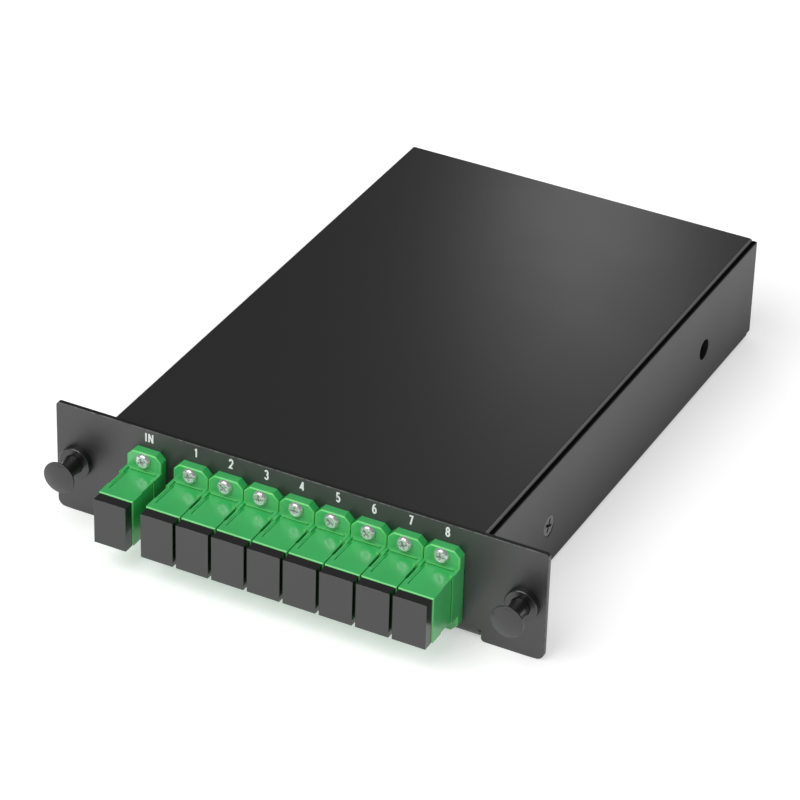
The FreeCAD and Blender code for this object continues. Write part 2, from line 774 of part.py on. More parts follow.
def make_saddles():
    """Two clips that hold the splitter tube down."""
    clips = []
    for index in range(2):
        body = new_body("saddle_%d" % (index + 1), fan_x, size.sheet, listed=False)
        start = fan_rear + size.module_length * (index * 2 + 1) / 4 - size.saddle_length / 2
        inner = size.module_size / 2 + size.seam
        outer = inner + size.saddle_sheet
        foot = outer + size.saddle_foot
        low = size.saddle_sheet
        under = size.module_size + size.seam
        over = under + size.saddle_sheet
        hat = front_sketch(body, "hat", start)
        outline(hat, [(-foot, 0), (-inner, 0), (-inner, under), (inner, under), (inner, 0),
                      (foot, 0), (foot, low), (outer, low), (outer, over), (-outer, over),
                      (-outer, low), (-foot, low)])
        pad(body, hat, size.saddle_length)
        clips.append(body)
    gather("splitter_saddles", clips)


def make_guides():
    """Two open guides on the floor that keep the input lead to the left side."""
    clips = []
    for index in range(2):
        body = new_body("guide_%d" % (index + 1), input_x, size.sheet, listed=False)
        start = fan_rear + size.module_length * (index * 2 + 1) / 4 - size.guide_length / 2
        wide = size.guide_width / 2
        slot = size.lead / 2 + size.seam
        seat = size.module_size / 2 - slot
        top = size.module_size / 2 + size.lead
        block = front_sketch(body, "block", start)
        outline(block, [(-wide, 0), (wide, 0), (wide, top), (slot, top), (slot, seat),
                        (-slot, seat), (-slot, top), (-wide, top)])
        pad(body, block, size.guide_length)
        clips.append(body)
    gather("lead_guides", clips)


def swing(start, end, way):
    """Points and headings along two equal arcs between two runs that are parallel to way."""
    offset = end - start
    along = offset.dot(way)
    aside = offset - way * along
    reach = aside.Length
    aside.normalize()
    turn = 2 * math.atan2(reach, along)
    radius = along / (2 * math.sin(turn))
    stations = []
    for step in range(2 * BEND_STEPS + 1):
        share = step / BEND_STEPS
        if share <= 1:
            angle = turn * share
            place = way * math.sin(angle) + aside * (1 - math.cos(angle))
            stations.append((start + place * radius, angle, way, aside))
        else:
            angle = turn * (2 - share)
            place = way * math.sin(angle) + aside * (1 - math.cos(angle))
            stations.append((end - place * radius, angle, way, aside))
    return stations


def arch(start, end, way):
    """Points and headings along a half circle that leaves start along way and ends at end."""
    aside = end - start
    radius = aside.Length / 2
    aside.normalize()
    stations = []
    for step in range(TURN_STEPS + 1):
        angle = math.pi * step / TURN_STEPS
        place = way * math.sin(angle) + aside * (1 - math.cos(angle))
        stations.append((start + place * radius, angle, way, aside))
    return stations


def lead_solid(stations):
    """Join square sections, each set square to the lead's heading."""
    half = size.lead.value / 2
    sections = []
    for place, angle, way, aside in stations:
        side = aside * math.cos(angle) - way * math.sin(angle)
        normal = way.cross(aside)
        ring = []
        for out, up in ((-1, -1), (1, -1), (1, 1), (-1, 1), (-1, -1)):
            ring.append(place + side * (half * out) + normal * (half * up))
        sections.append(Part.makePolygon(ring))
    return Part.makeLoft(sections, True, True)


def add_lead(name, shapes):
    """Store swept leads as one node, set back with the other pieces."""
    feature = doc.addObject("Part::Feature", name)
    feature.Label = name
    feature.Shape = shapes[0] if len(shapes) == 1 else Part.makeCompound(shapes)
    feature.Placement = FreeCAD.Placement(V(0, face_y.value, 0), FreeCAD.Rotation())
    parts.append(feature)


def make_leads():
    """Eight output leads from the fan-out block, and the input lead round the back."""
    rearward = V(0, 1, 0)
    outputs = []
    for index, (_, across) in enumerate(port_places()[1:]):
        slot = fan_x.value + size.lead_pitch.value * (index - (OUTPUTS - 1) / 2)
        start = V(across.value, size.boot_end.value, size.port_level.value)
        end = V(slot, size.fan_front.value, lead_level.value)
        outputs.append(lead_solid(swing(start, end, rearward)))
    add_lead("output_leads", outputs)

    boot = V(input_x.value, size.boot_end.value, size.port_level.value)
    low = V(input_x.value, size.fan_front.value, lead_level.value)
    turn = V(input_x.value, module_rear.value, lead_level.value)
    tube = V(fan_x.value, module_rear.value, lead_level.value)
    descent = lead_solid(swing(boot, low, rearward))
    bow = arch(turn, tube, rearward)
    run = [(low,) + bow[0][1:]] + bow
    add_lead("input_lead", [descent.fuse(lead_solid(run)).removeSplitter()])


def check_document():
    """Stop if any object failed, if a pocket cut nothing, or if a piece has no sound solid."""
    doc.recompute()
    for feature in pockets:
        if feature.Shape.Volume > feature.BaseFeature.Shape.Volume - TINY:
            raise RuntimeError("the pocket %s cuts nothing" % feature.Label)
    for item in doc.Objects:
        if "Invalid" in item.State or "Error" in item.State:
            raise RuntimeError("%s failed: %s" % (item.Label, item.State))
    for piece in parts:
        shape = piece.Shape
        if shape.isNull() or not shape.isValid() or not shape.Solids:
            raise RuntimeError("%s has no valid solid" % piece.Label)


make_chassis()
make_cover()
sleeves = []
upper = []
lower = []
for port, place in port_places():
    make_adapter("adapter_" + port, place)
    make_dust_cap("dust_cap_" + port, place)
    make_rear_plug("rear_plug_" + port, place)
    sleeves.append(make_sleeve("sleeve_" + port, place))
    above = size.port_level + size.screw_spread / 2
    below = size.port_level - size.screw_spread / 2
    upper.append(make_flange_screw("upper_screw_" + port, place, above))
    lower.append(make_flange_screw("lower_screw_" + port, place, below))
gather("alignment_sleeves", sleeves)
gather("flange_screws_upper", upper)
gather("flange_screws_lower", lower)
for word, sign in (("left", -1), ("right", 1)):
    make_plunger("plunger_" + word, knob_reach * sign)
    make_bush("fastener_bush_" + word, knob_reach * sign)
gather("cover_screws", [make_wall_screw("wall_screw_left", -1, size.lid_sheet),
                        make_wall_screw("wall_screw_right", 1, size.sheet)])
make_splitter()
make_saddles()
make_guides()
make_leads()
check_document()

os.makedirs("parts", exist_ok=True)
for piece in parts:
    piece.Shape.exportStep(os.path.join("parts", piece.Label + ".step"))
    box = piece.Shape.BoundBox
    print("%-22s solids %2d  x %.2f %.2f  y %.2f %.2f  z %.2f %.2f" % (
        piece.Label, len(piece.Shape.Solids), box.XMin, box.XMax, box.YMin, box.YMax,
        box.ZMin, box.ZMax))
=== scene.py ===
"""Looks of a rack cassette with a one to eight planar fibre splitter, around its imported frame."""
import logging
import math
from dataclasses import dataclass
from enum import Enum
from typing import Callable, Iterable, Sequence

import bmesh
import bpy
from mathutils import Matrix, Vector


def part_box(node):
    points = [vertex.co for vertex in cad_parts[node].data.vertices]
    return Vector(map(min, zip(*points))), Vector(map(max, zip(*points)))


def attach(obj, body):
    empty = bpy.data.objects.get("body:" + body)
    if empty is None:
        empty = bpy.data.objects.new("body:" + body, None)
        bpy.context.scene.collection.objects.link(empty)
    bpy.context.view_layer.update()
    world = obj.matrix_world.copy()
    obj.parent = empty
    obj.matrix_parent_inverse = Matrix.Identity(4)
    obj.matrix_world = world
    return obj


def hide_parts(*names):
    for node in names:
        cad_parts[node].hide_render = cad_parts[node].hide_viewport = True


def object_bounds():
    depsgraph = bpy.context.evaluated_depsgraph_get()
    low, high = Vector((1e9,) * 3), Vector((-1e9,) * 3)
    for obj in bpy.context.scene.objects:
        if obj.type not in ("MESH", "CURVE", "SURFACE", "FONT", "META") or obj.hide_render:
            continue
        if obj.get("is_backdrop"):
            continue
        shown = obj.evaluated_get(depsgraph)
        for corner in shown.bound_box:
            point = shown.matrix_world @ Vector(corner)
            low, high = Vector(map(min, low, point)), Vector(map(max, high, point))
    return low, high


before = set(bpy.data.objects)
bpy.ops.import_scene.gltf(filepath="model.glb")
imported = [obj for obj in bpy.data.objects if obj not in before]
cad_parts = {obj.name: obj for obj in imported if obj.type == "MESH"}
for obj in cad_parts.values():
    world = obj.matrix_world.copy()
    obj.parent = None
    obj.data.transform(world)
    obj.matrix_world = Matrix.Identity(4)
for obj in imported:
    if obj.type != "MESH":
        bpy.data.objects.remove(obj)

LOG = logging.getLogger("cassette")
MM = 0.001
HAIR = MM / 100
WELD = 1e-6
FLAT = math.radians(0.6)
ROUND = math.radians(32)
# Shares of a face's normal along one axis, from squarely facing it to barely
STRAIGHT = 0.97
STEEP = 0.95
UPRIGHT = 0.9
SLANTED = 0.5
TILTED = 0.25
ROOT = "cassette"
Colour = tuple[float, float, float]
Point = tuple[float, float, float]
Pair = tuple[float, float]
Stroke = list[Pair]
Socket = bpy.types.NodeSocket
Material = bpy.types.Material
Thing = bpy.types.Object
Face = bpy.types.MeshPolygon
Built = bmesh.types.BMesh
Loop = list[bmesh.types.BMVert]


class Side(Enum):
    """The two ends of the front panel."""

    LEFT = "left"
    RIGHT = "right"


class Port(Enum):
    """The nine ports, as the node names call them."""

    IN = "in"
    ONE = "1"
    TWO = "2"
    THREE = "3"
    FOUR = "4"
    FIVE = "5"
    SIX = "6"
    SEVEN = "7"
    EIGHT = "8"

    @property
    def adapter(self) -> str:
        """Node of its adapter."""
        return "adapter_" + self.value


def middle(node: str) -> Vector:
    """Middle of a node's box, in metres."""
    low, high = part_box(node)
    return (Vector(low) + Vector(high)) / 2


# Node trees and materials

class Tree:
    """A node tree, with a short way to add a node and feed it."""

    def __init__(self, tree: bpy.types.NodeTree) -> None:
        """Take the tree of a material, a world or a geometry recipe and empty it."""
        self.tree = tree
        self.tree.nodes.clear()

    def add(self, kind: str, *given: object, **named: object) -> bpy.types.Node:
        """Add a node and feed its inputs, each with a plain value or from another socket.

        Args:
            kind: the node's type name.
            given: what feeds its inputs in order, None to leave one as it is.
            named: what feeds inputs by name, an underscore standing for a space.

        Returns:
            The new node.
        """
        node = self.tree.nodes.new(kind)
        pairs = list(zip(node.inputs, given))
        pairs += [(node.inputs[name.replace("_", " ")], value) for name, value in named.items()]
        for target, value in pairs:
            if isinstance(value, Socket):
                self.tree.links.new(value, target)
            elif value is not None:
                target.default_value = value
        return node

    def combine(self, operation: str, first: Socket, second: Socket | float) -> Socket:
        """Work out one number from two by a Math node."""
        node = self.add("ShaderNodeMath", first, second)
        node.operation = operation
        return node.outputs[0]


class Graph(Tree):
    """A material's node tree."""

    def __init__(self, name: str) -> None:
        """Start an empty material."""
        self.material = bpy.data.materials.new(name)
        self.material.use_nodes = True
        super().__init__(self.material.node_tree)

    def place(self, scale: Point = (1.0, 1.0, 1.0)) -> Socket:
        """Object coordinates, each multiplied by its scale."""
        spot = self.add("ShaderNodeTexCoord")
        mapping = self.add("ShaderNodeMapping", Vector=spot.outputs["Object"], Scale=scale)
        return mapping.outputs["Vector"]

    def noise(self, where: Socket, scale: float, detail: float = 3.0,
              roughness: float = 0.5) -> Socket:
        """Noise over the given coordinates, as a number around one half."""
        node = self.add("ShaderNodeTexNoise", Vector=where, Scale=scale, Detail=detail,
                        Roughness=roughness)
        return node.outputs["Fac"]

    def stretch(self, value: Socket, to_low: float, to_high: float, low: float = 0.3,
                high: float = 0.7) -> Socket:
        """Stretch a number, such as the middle of a noise, to a range clamped at both ends."""
        node = self.add("ShaderNodeMapRange", Value=value, From_Min=low, From_Max=high,
                        To_Min=to_low, To_Max=to_high)
        return node.outputs["Result"]

    def blend(self, amount: Socket, first: Colour, second: Colour) -> Socket:
        """Mix two colours by a number from nought to one."""
        node = self.tree.nodes.new("ShaderNodeMix")
        node.data_type = "RGBA"
        node.inputs[6].default_value = (*first, 1.0)
        node.inputs[7].default_value = (*second, 1.0)
        self.tree.links.new(amount, node.inputs[0])
        return node.outputs[2]

    def mottle(self, value: Socket, colour: Colour, contrast: float) -> Socket:
        """Vary a colour by a share both ways with a noise."""
        return self.blend(self.stretch(value, 0.0, 1.0), tint(colour, 1 - contrast),
                          tint(colour, 1 + contrast))

    def bump(self, height: Socket, strength: float, relief: float) -> Socket:
        """Turn a height into a normal, with the relief in millimetres."""
        node = self.add("ShaderNodeBump", Strength=strength, Distance=relief * MM, Height=height)
        return node.outputs["Normal"]

    def surface(self, **inputs: object) -> Material:
        """Finish the material with a principled shader whose inputs are fed as given."""
        return self.finish(self.add("ShaderNodeBsdfPrincipled", **inputs))

    def finish(self, shader: bpy.types.Node) -> Material:
        """Set the surface and return the material."""
        self.add("ShaderNodeOutputMaterial", Surface=shader.outputs[0])
        return self.material


def tint(colour: Colour, factor: float) -> Colour:
    """A colour made lighter or darker."""
    return tuple(min(1.0, part * factor) for part in colour)


@dataclass(frozen=True)
class PowderCoat:
    """Fine-textured black powder coat on steel.

    The sheen can be held back near the ground as painted shade: foot is the share of it that is
    left there, and rise the height in millimetres where all of it is back.
    """

    name: str
    colour: Colour
    roughness: float = 0.5
    specular: float = 0.5
    grain: float = 0.22
    relief: float = 0.04
    speck: float = 5200.0
    patch: float = 90.0
    contrast: float = 0.14
    uneven: float = 0.008
    foot: float = 1.0
    rise: float = 26.0

    def build(self) -> Material:
        """Make the material, fine in colour and height and soft in roughness."""
        graph = Graph(self.name)
        where = graph.place()
        fine = graph.noise(where, self.speck, detail=2.0, roughness=0.6)
        soft = graph.noise(where, self.speck / self.patch)
        sheen = self.specular
        # Painted shade: with foot below one, the sheen fades towards the ground
        if self.foot < 1:
            level = graph.add("ShaderNodeSeparateXYZ", where).outputs["Z"]
            sheen = graph.stretch(level, sheen * self.foot, sheen, 0.0, self.rise * MM)
        return graph.surface(
            Base_Color=graph.mottle(fine, self.colour, self.contrast),
            Roughness=graph.stretch(soft, self.roughness - self.uneven,
                                    self.roughness + self.uneven),
            Normal=graph.bump(fine, self.grain, self.relief), Specular_IOR_Level=sheen)


@dataclass(frozen=True)
class HighlightCoat:
    """Coat along an edge with a painted highlight, lighter and smoother in patches."""

    name: str
    colour: Colour
    bare: Colour
    patch: float = 900.0
    matt: float = 0.5
    smooth: float = 0.35

    def build(self) -> Material:
        """Make the material, patchy in colour and roughness."""
        graph = Graph(self.name)
        patches = graph.noise(graph.place(), self.patch, roughness=0.6)
        # Share of the painted highlight in each patch
        lit_share = graph.stretch(patches, 0.0, 1.0, low=0.35, high=0.65)
        return graph.surface(Base_Color=graph.blend(lit_share, self.colour, self.bare),
                             Roughness=graph.stretch(patches, self.matt, self.smooth))


@dataclass(frozen=True)
class Plastic:
    """Moulded plastic with a faint surface unevenness."""

    name: str
    colour: Colour
    roughness: float = 0.35
    specular: float = 0.5
    ripple: float = 0.06
    relief: float = 0.03
    scale: float = 900.0
    coarser: float = 6.0
    finer: float = 4.0
    contrast: float = 0.05
    uneven: float = 0.015

    def build(self) -> Material:
        """Make the material, broadly mottled in colour and roughness and finely rippled."""
        graph = Graph(self.name)
        where = graph.place()
        broad = graph.noise(where, self.scale / self.coarser, detail=2.0)
        fine = graph.noise(where, self.scale * self.finer, detail=2.0)
        return graph.surface(
            Base_Color=graph.mottle(broad, self.colour, self.contrast),
            Roughness=graph.stretch(broad, self.roughness - self.uneven,
                                    self.roughness + self.uneven),
            Normal=graph.bump(fine, self.ripple, self.relief), Specular_IOR_Level=self.specular)


@dataclass(frozen=True)
class Metal:
    """Bare or plated metal with faint turning marks, which can be stretched along Y."""

    name: str
    colour: Colour
    roughness: float = 0.2
    stretch: float = 1.0
    metallic: float = 1.0
    marks: float = 2600.0
    dull: float = 0.9
    smoother: float = 0.06
    rougher: float = 0.08
    depth: float = 0.05
    relief: float = 0.02

    def build(self) -> Material:
        """Make the material, its marks in colour, roughness and height."""
        graph = Graph(self.name)
        marks = graph.noise(graph.place((1.0, 1.0 / self.stretch, 1.0)), self.marks)
        return graph.surface(
            Base_Color=graph.blend(marks, tint(self.colour, self.dull), self.colour),
            Roughness=graph.stretch(marks, self.roughness - self.smoother,
                                    self.roughness + self.rougher),
            Normal=graph.bump(marks, self.depth, self.relief), Metallic=self.metallic)


@dataclass(frozen=True)
class Ink:
    """White screen-printed ink, a little thin in places."""

    name: str
    colour: Colour
    roughness: float = 0.55
    patch: float = 3500.0
    dull: float = 0.9

    def build(self) -> Material:
        """Make the material, mottled in colour."""
        graph = Graph(self.name)
        patches = graph.noise(graph.place(), self.patch, detail=2.0)
        thin = graph.stretch(patches, 0.0, 1.0, low=0.35, high=0.75)
        colour = graph.blend(thin, tint(self.colour, self.dull), self.colour)
        return graph.surface(Base_Color=colour, Roughness=self.roughness)


class Finish(Enum):
    """Every finish of the cassette."""

    COAT = PowderCoat("black_coat", (0.012, 0.012, 0.0122), roughness=0.42, specular=0.95)
    # Panel front: a little lighter and glossier than the coat; painted light
    FRONT = PowderCoat("front_painted_sheen", (0.013, 0.013, 0.0132), roughness=0.42, specular=1.08)
    # Sheet edges that face up: darker and duller than the coat; painted shade
    EDGE = PowderCoat("upward_edge_painted_shade", (0.010, 0.010, 0.010), roughness=0.5, specular=0.5)
    # Right wall: darker and less glossy than the coat, its sheen fading towards the foot; painted
    # shade
    WALL = PowderCoat("wall_painted_shade", (0.008, 0.008, 0.0082), roughness=0.42, specular=0.58,
                      foot=0.2)
    # Top edge of the right wall: near black, painted shade from the cover
    BRIM = PowderCoat("wall_top_painted_shade", (0.0015, 0.0015, 0.0015), roughness=0.7,
                      specular=0.03)
    # Front edge of the panel: a painted highlight, lighter in patches
    WORN = HighlightCoat("panel_edge_painted_highlight", (0.03, 0.03, 0.03), (0.13, 0.13, 0.13))
    # Upper right bend of the cover: a light grey painted highlight
    BEND = HighlightCoat("bend_painted_highlight", (0.11, 0.11, 0.11), (0.17, 0.17, 0.17), patch=4000.0)
    ADAPTER = Plastic("adapter_green", (0.040, 0.46, 0.110), roughness=0.23, specular=1.3)
    # Rims of the adapters: a lighter green, painted highlight
    ADAPTER_EDGE = Plastic("adapter_rim_painted_highlight", (0.11, 0.62, 0.15), roughness=0.2)
    PLUG = Plastic("rear_plug_green", (0.038, 0.385, 0.092), roughness=0.35)
    CAP = Plastic("dust_cap_black", (0.012, 0.012, 0.0122), roughness=0.16, specular=0.88)
    KNOB = Plastic("knob_black", (0.010, 0.010, 0.0102), roughness=0.24, specular=0.9)
    SCREW = Metal("bright_plating", (0.82, 0.82, 0.83), roughness=0.26, metallic=0.75)
    BLACK_SCREW = Metal("black_plating", (0.09, 0.09, 0.093), roughness=0.3, metallic=0.8)
    CERAMIC = Plastic("white_ceramic", (0.86, 0.85, 0.82), roughness=0.15)
    TUBE = Metal("splitter_steel", (0.60, 0.60, 0.61), roughness=0.3, stretch=12.0)
    BLOCK = Plastic("white_block", (0.78, 0.78, 0.76), roughness=0.5)
    CLIP = Plastic("pale_clip", (0.70, 0.70, 0.68), roughness=0.45)
    LEAD = Plastic("white_lead", (0.82, 0.82, 0.80), roughness=0.45, scale=2200.0)
    INK = Ink("white_ink", (0.95, 0.95, 0.95))


class Wardrobe:
    """Builds each finish once, when it is first asked for."""

    def __init__(self) -> None:
        """Start with nothing built."""
        self.made: dict[Finish, Material] = {}

    def get(self, finish: Finish) -> Material:
        """Return the material of a finish."""
        if finish not in self.made:
            self.made[finish] = finish.value.build()
        return self.made[finish]

    def dress(self, thing: Thing, finish: Finish) -> None:
        """Give an object one finish all over."""
        material = self.get(finish)
        if not thing.material_slots:
            thing.data.materials.append(material)
        for slot in thing.material_slots:
            slot.material = material

    def touch_up(self, thing: Thing, finish: Finish, rule: Callable[[Face], bool]) -> int:
        """Give the faces that meet a rule a finish of their own.

        Args:
            thing: an object that is already dressed.
            finish: the finish of those faces.
            rule: says of a face whether it is meant.

        Returns:
            How many faces were changed.
        """
        thing.data.materials.append(self.get(finish))
        place = len(thing.data.materials) - 1
        chosen = [face for face in thing.data.polygons if rule(face)]
        for face in chosen:
            face.material_index = place
        return len(chosen)


WARDROBE = Wardrobe()


# Meshes

def new_object(name: str, mesh: bpy.types.Mesh) -> Thing:
    """Link a mesh to the scene as an object at the origin."""
    thing = bpy.data.objects.new(name, mesh)
    bpy.context.scene.collection.objects.link(thing)
    return thing


def made_object(name: str, built: Built) -> Thing:
    """Turn a finished bmesh into an object of its own and free it."""
    mesh = bpy.data.meshes.new(name)
    built.to_mesh(mesh)
    built.free()
    return new_object(name, mesh)


def smooth_by_angle(mesh: bpy.types.Mesh) -> None:
    """Shade faces smooth, with sharp edges where two faces meet at more than a round's angle."""
    built = bmesh.new()
    built.from_mesh(mesh)
    for face in built.faces:
        face.smooth = True
    for edge in built.edges:
        if len(edge.link_faces) == 2:
            edge.smooth = edge.calc_face_angle(0.0) < ROUND
    built.to_mesh(mesh)
    built.free()


def freeze(thing: Thing) -> Thing:
    """Replace an object's mesh by its evaluated one and drop the modifiers."""
    graph = bpy.context.evaluated_depsgraph_get()
    graph.update()
    mesh = bpy.data.meshes.new_from_object(thing.evaluated_get(graph))
    thing.modifiers.clear()
    thing.data = mesh
    return thing


def softened(node: str, name: str, width: float, segments: int = 2,
             limit: float = 40.0, mark: str = "",
             choose: Callable[[bmesh.types.BMEdge], bool] | None = None) -> Thing:
    """Copy a node's solid and break its sharp edges, as moulding or deburring does.

    Args:
        node: the CAD node to copy.
        name: the new object's name.
        width: size of the broken edge in millimetres.
        segments: steps across the broken edge.
        limit: edges sharper than this many degrees are broken.
        mark: name of a face attribute that says which faces lie on broken edges, if wanted.
        choose: says of a sharp edge whether it is broken; without it every one is.

    Returns:
        The new object.
    """
    built = bmesh.new()
    built.from_mesh(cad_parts[node].data)
    bmesh.ops.remove_doubles(built, verts=built.verts, dist=WELD)
    bmesh.ops.dissolve_limit(built, angle_limit=FLAT, verts=built.verts, edges=built.edges,
                             use_dissolve_boundaries=False)
    if choose:
        weight = built.edges.layers.float.new("bevel_weight_edge")
        for edge in built.edges:
            if edge.calc_face_angle(0) > math.radians(limit) and choose(edge):
                edge[weight] = 1.0
    thing = made_object(name, built)
    mesh = thing.data
    mesh.materials.clear()
    smooth_by_angle(mesh)
    bevel = thing.modifiers.new("broken_edges", "BEVEL")
    bevel.width = width * MM
    bevel.segments = segments
    bevel.limit_method = "WEIGHT" if choose else "ANGLE"
    bevel.angle_limit = math.radians(limit)
    bevel.use_clamp_overlap = True
    even = thing.modifiers.new("even_normals", "WEIGHTED_NORMAL")
    even.mode = "FACE_AREA"
    even.keep_sharp = True
    if mark:
        bevel.material = 1
        mesh.materials.append(None)
        mesh.materials.append(None)
    freeze(thing)
    if mark:
        flags = thing.data.attributes.new(mark, "BOOLEAN", "FACE")
        flags.data.foreach_set("value", [face.material_index == 1
                                         for face in thing.data.polygons])
        thing.data.polygons.foreach_set("material_index", [0] * len(thing.data.polygons))
        thing.data.materials.clear()
    return thing


def bow(across: float, up: float, wide: float, tall: float, start: float, end: float,
        steps: int = 14) -> Stroke:
    """Points on part of an ellipse, as a stroke of a character or a piece of an outline.

    Args:
        across: middle of the ellipse, left to right.
        up: middle of the ellipse, bottom to top.
        wide: half of its width.
        tall: half of its height.
        start: first angle in degrees, anticlockwise from the right.
        end: last angle in degrees.
        steps: number of pieces.

    Returns:
        The points in order.
    """
    turns = (math.radians(start + (end - start) * step / steps) for step in range(steps + 1))
    return [(across + wide * math.cos(turn), up + tall * math.sin(turn)) for turn in turns]


def ring(built: Built, radius: float, along: float, steps: int) -> Loop:
    """Vertices round the Y axis, in millimetres, or a single one where the radius is nought."""
    if radius < WELD:
        return [built.verts.new(Vector((0, along, 0)) * MM)]
    turns = (2 * math.pi * step / steps for step in range(steps))
    return [built.verts.new(Vector((radius * math.cos(turn), along,
                                    radius * math.sin(turn))) * MM) for turn in turns]


def bridge(built: Built, first: Loop, second: Loop) -> None:
    """Join two loops of the same length by quads, or a loop and a single vertex by triangles."""
    count = max(len(first), len(second))
    for index in range(count):
        after = (index + 1) % count
        corners = (first[index % len(first)], second[index % len(second)],
                   second[after % len(second)], first[after % len(first)])
        built.faces.new(tuple(dict.fromkeys(corners)))


def turned(built: Built, outline: Sequence[Pair], steps: int) -> list[Loop]:
    """Turn an outline of radius and Y, in millimetres, about the Y axis.

    Args:
        built: the mesh being built.
        outline: radius and Y of each point.
        steps: number of flat steps round the axis.

    Returns:
        The loops of vertices, one to a point.
    """
    loops = [ring(built, radius, along, steps) for radius, along in outline]
    for first, second in zip(loops, loops[1:]):
        bridge(built, first, second)
    return loops


def rounded_object(name: str, built: Built) -> Thing:
    """Turn a closed bmesh into an object that faces outwards and is shaded smooth."""
    bmesh.ops.recalc_face_normals(built, faces=built.faces)
    thing = made_object(name, built)
    smooth_by_angle(thing.data)
    return thing


def settle(thing: Thing, body: str, finish: Finish | None, slot: str, *nodes: str) -> None:
    """Dress a piece, let it ride on its body and stand for its nodes.

    Args:
        thing: the piece.
        body: the body it moves with.
        finish: what it is coated with or made of, or None if it is dressed already.
        slot: the record's material slot; not used.
        nodes: the CAD nodes it stands for.
    """
    if finish:
        WARDROBE.dress(thing, finish)
    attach(thing, body)
    if nodes:
        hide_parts(*nodes)
    LOG.info("%s rides on %s with %d faces", thing.name, body, len(thing.data.polygons))


# Geometry node trees

class Recipe(Tree):
    """A geometry node tree that ends in Realize Instances and Set Material."""

    def __init__(self, name: str) -> None:
        """Start a tree with a geometry input and output."""
        super().__init__(bpy.data.node_groups.new(name, "GeometryNodeTree"))
        for way in ("INPUT", "OUTPUT"):
            self.tree.interface.new_socket("Geometry", in_out=way,
                                           socket_type="NodeSocketGeometry")
        self.given = self.add("NodeGroupInput").outputs
        self.end = self.add("NodeGroupOutput")

    def setting(self, name: str, kind: str) -> str:
        """Add a named input of a socket type and return its identifier."""
        return self.tree.interface.new_socket(name, in_out="INPUT", socket_type=kind).identifier

    def close(self, geometry: Socket, material: Material, marked: Material | None = None,
              mark: str = "") -> None:
        """Realize the instances, set the material and end the tree.

        Args:
            geometry: the socket that gives the instances.
            material: finish of all faces.
            marked: finish of the marked faces, if they have one of their own.
            mark: name of the face attribute that marks them.
        """
        realize = self.add("GeometryNodeRealizeInstances", geometry)
        paint = self.add("GeometryNodeSetMaterial", Geometry=realize.outputs[0],
                         Material=material)
        if marked:
            chosen = self.add("GeometryNodeInputNamedAttribute", Name=mark)
            chosen.data_type = "BOOLEAN"
            paint = self.add("GeometryNodeSetMaterial", Geometry=paint.outputs[0],
                             Material=marked, Selection=chosen.outputs["Attribute"])
        self.tree.links.new(paint.outputs[0], self.end.inputs[0])

    def apply(self, thing: Thing, values: dict[str, object]) -> Thing:
        """Run the tree on an object, with values by socket identifier, and keep the mesh."""
        modifier = thing.modifiers.new("row_of_copies", "NODES")
        modifier.node_group = self.tree
        for identifier, value in values.items():
            modifier[identifier] = value
        return freeze(thing)


@dataclass
class RepeatedPiece:
    """Sets copies of one pattern piece on the points of a guide, each turned by chance."""

    name: str
    finish: Finish
    turn: float = 0.0
    seed: int = 7
    marked: Finish | None = None
    mark: str = ""

    def build(self, pattern: Thing, points: Iterable[Point]) -> Thing:
        """Make the row.

        Args:
            pattern: the piece to repeat, modelled round the origin.
            points: where the copies stand, in metres.

        Returns:
            One object that holds all copies as a plain mesh.
        """
        recipe = Recipe(self.name + "_recipe")
        piece = recipe.setting("Pattern", "NodeSocketObject")
        spread = recipe.setting("Turn spread", "NodeSocketFloat")
        seed = recipe.setting("Seed", "NodeSocketInt")
        most = recipe.given["Turn spread"]
        least = recipe.combine("MULTIPLY", most, -1.0)
        info = recipe.add("GeometryNodeObjectInfo", Object=recipe.given["Pattern"])
        chance = recipe.add("FunctionNodeRandomValue", None, None, least, most,
                            Seed=recipe.given["Seed"])
        turn = recipe.add("ShaderNodeCombineXYZ", Y=chance.outputs[1])
        copies = recipe.add("GeometryNodeInstanceOnPoints", Points=recipe.given["Geometry"],
                            Instance=info.outputs["Geometry"], Rotation=turn.outputs[0])
        marked = WARDROBE.get(self.marked) if self.marked else None
        recipe.close(copies.outputs[0], WARDROBE.get(self.finish), marked, self.mark)
        mesh = bpy.data.meshes.new(self.name)
        mesh.from_pydata([tuple(point) for point in points], [], [])
        thing = new_object(self.name, mesh)
        recipe.apply(thing, {piece: pattern, spread: self.turn, seed: self.seed})
        bpy.data.objects.remove(pattern)
        return thing


# Sub-assemblies

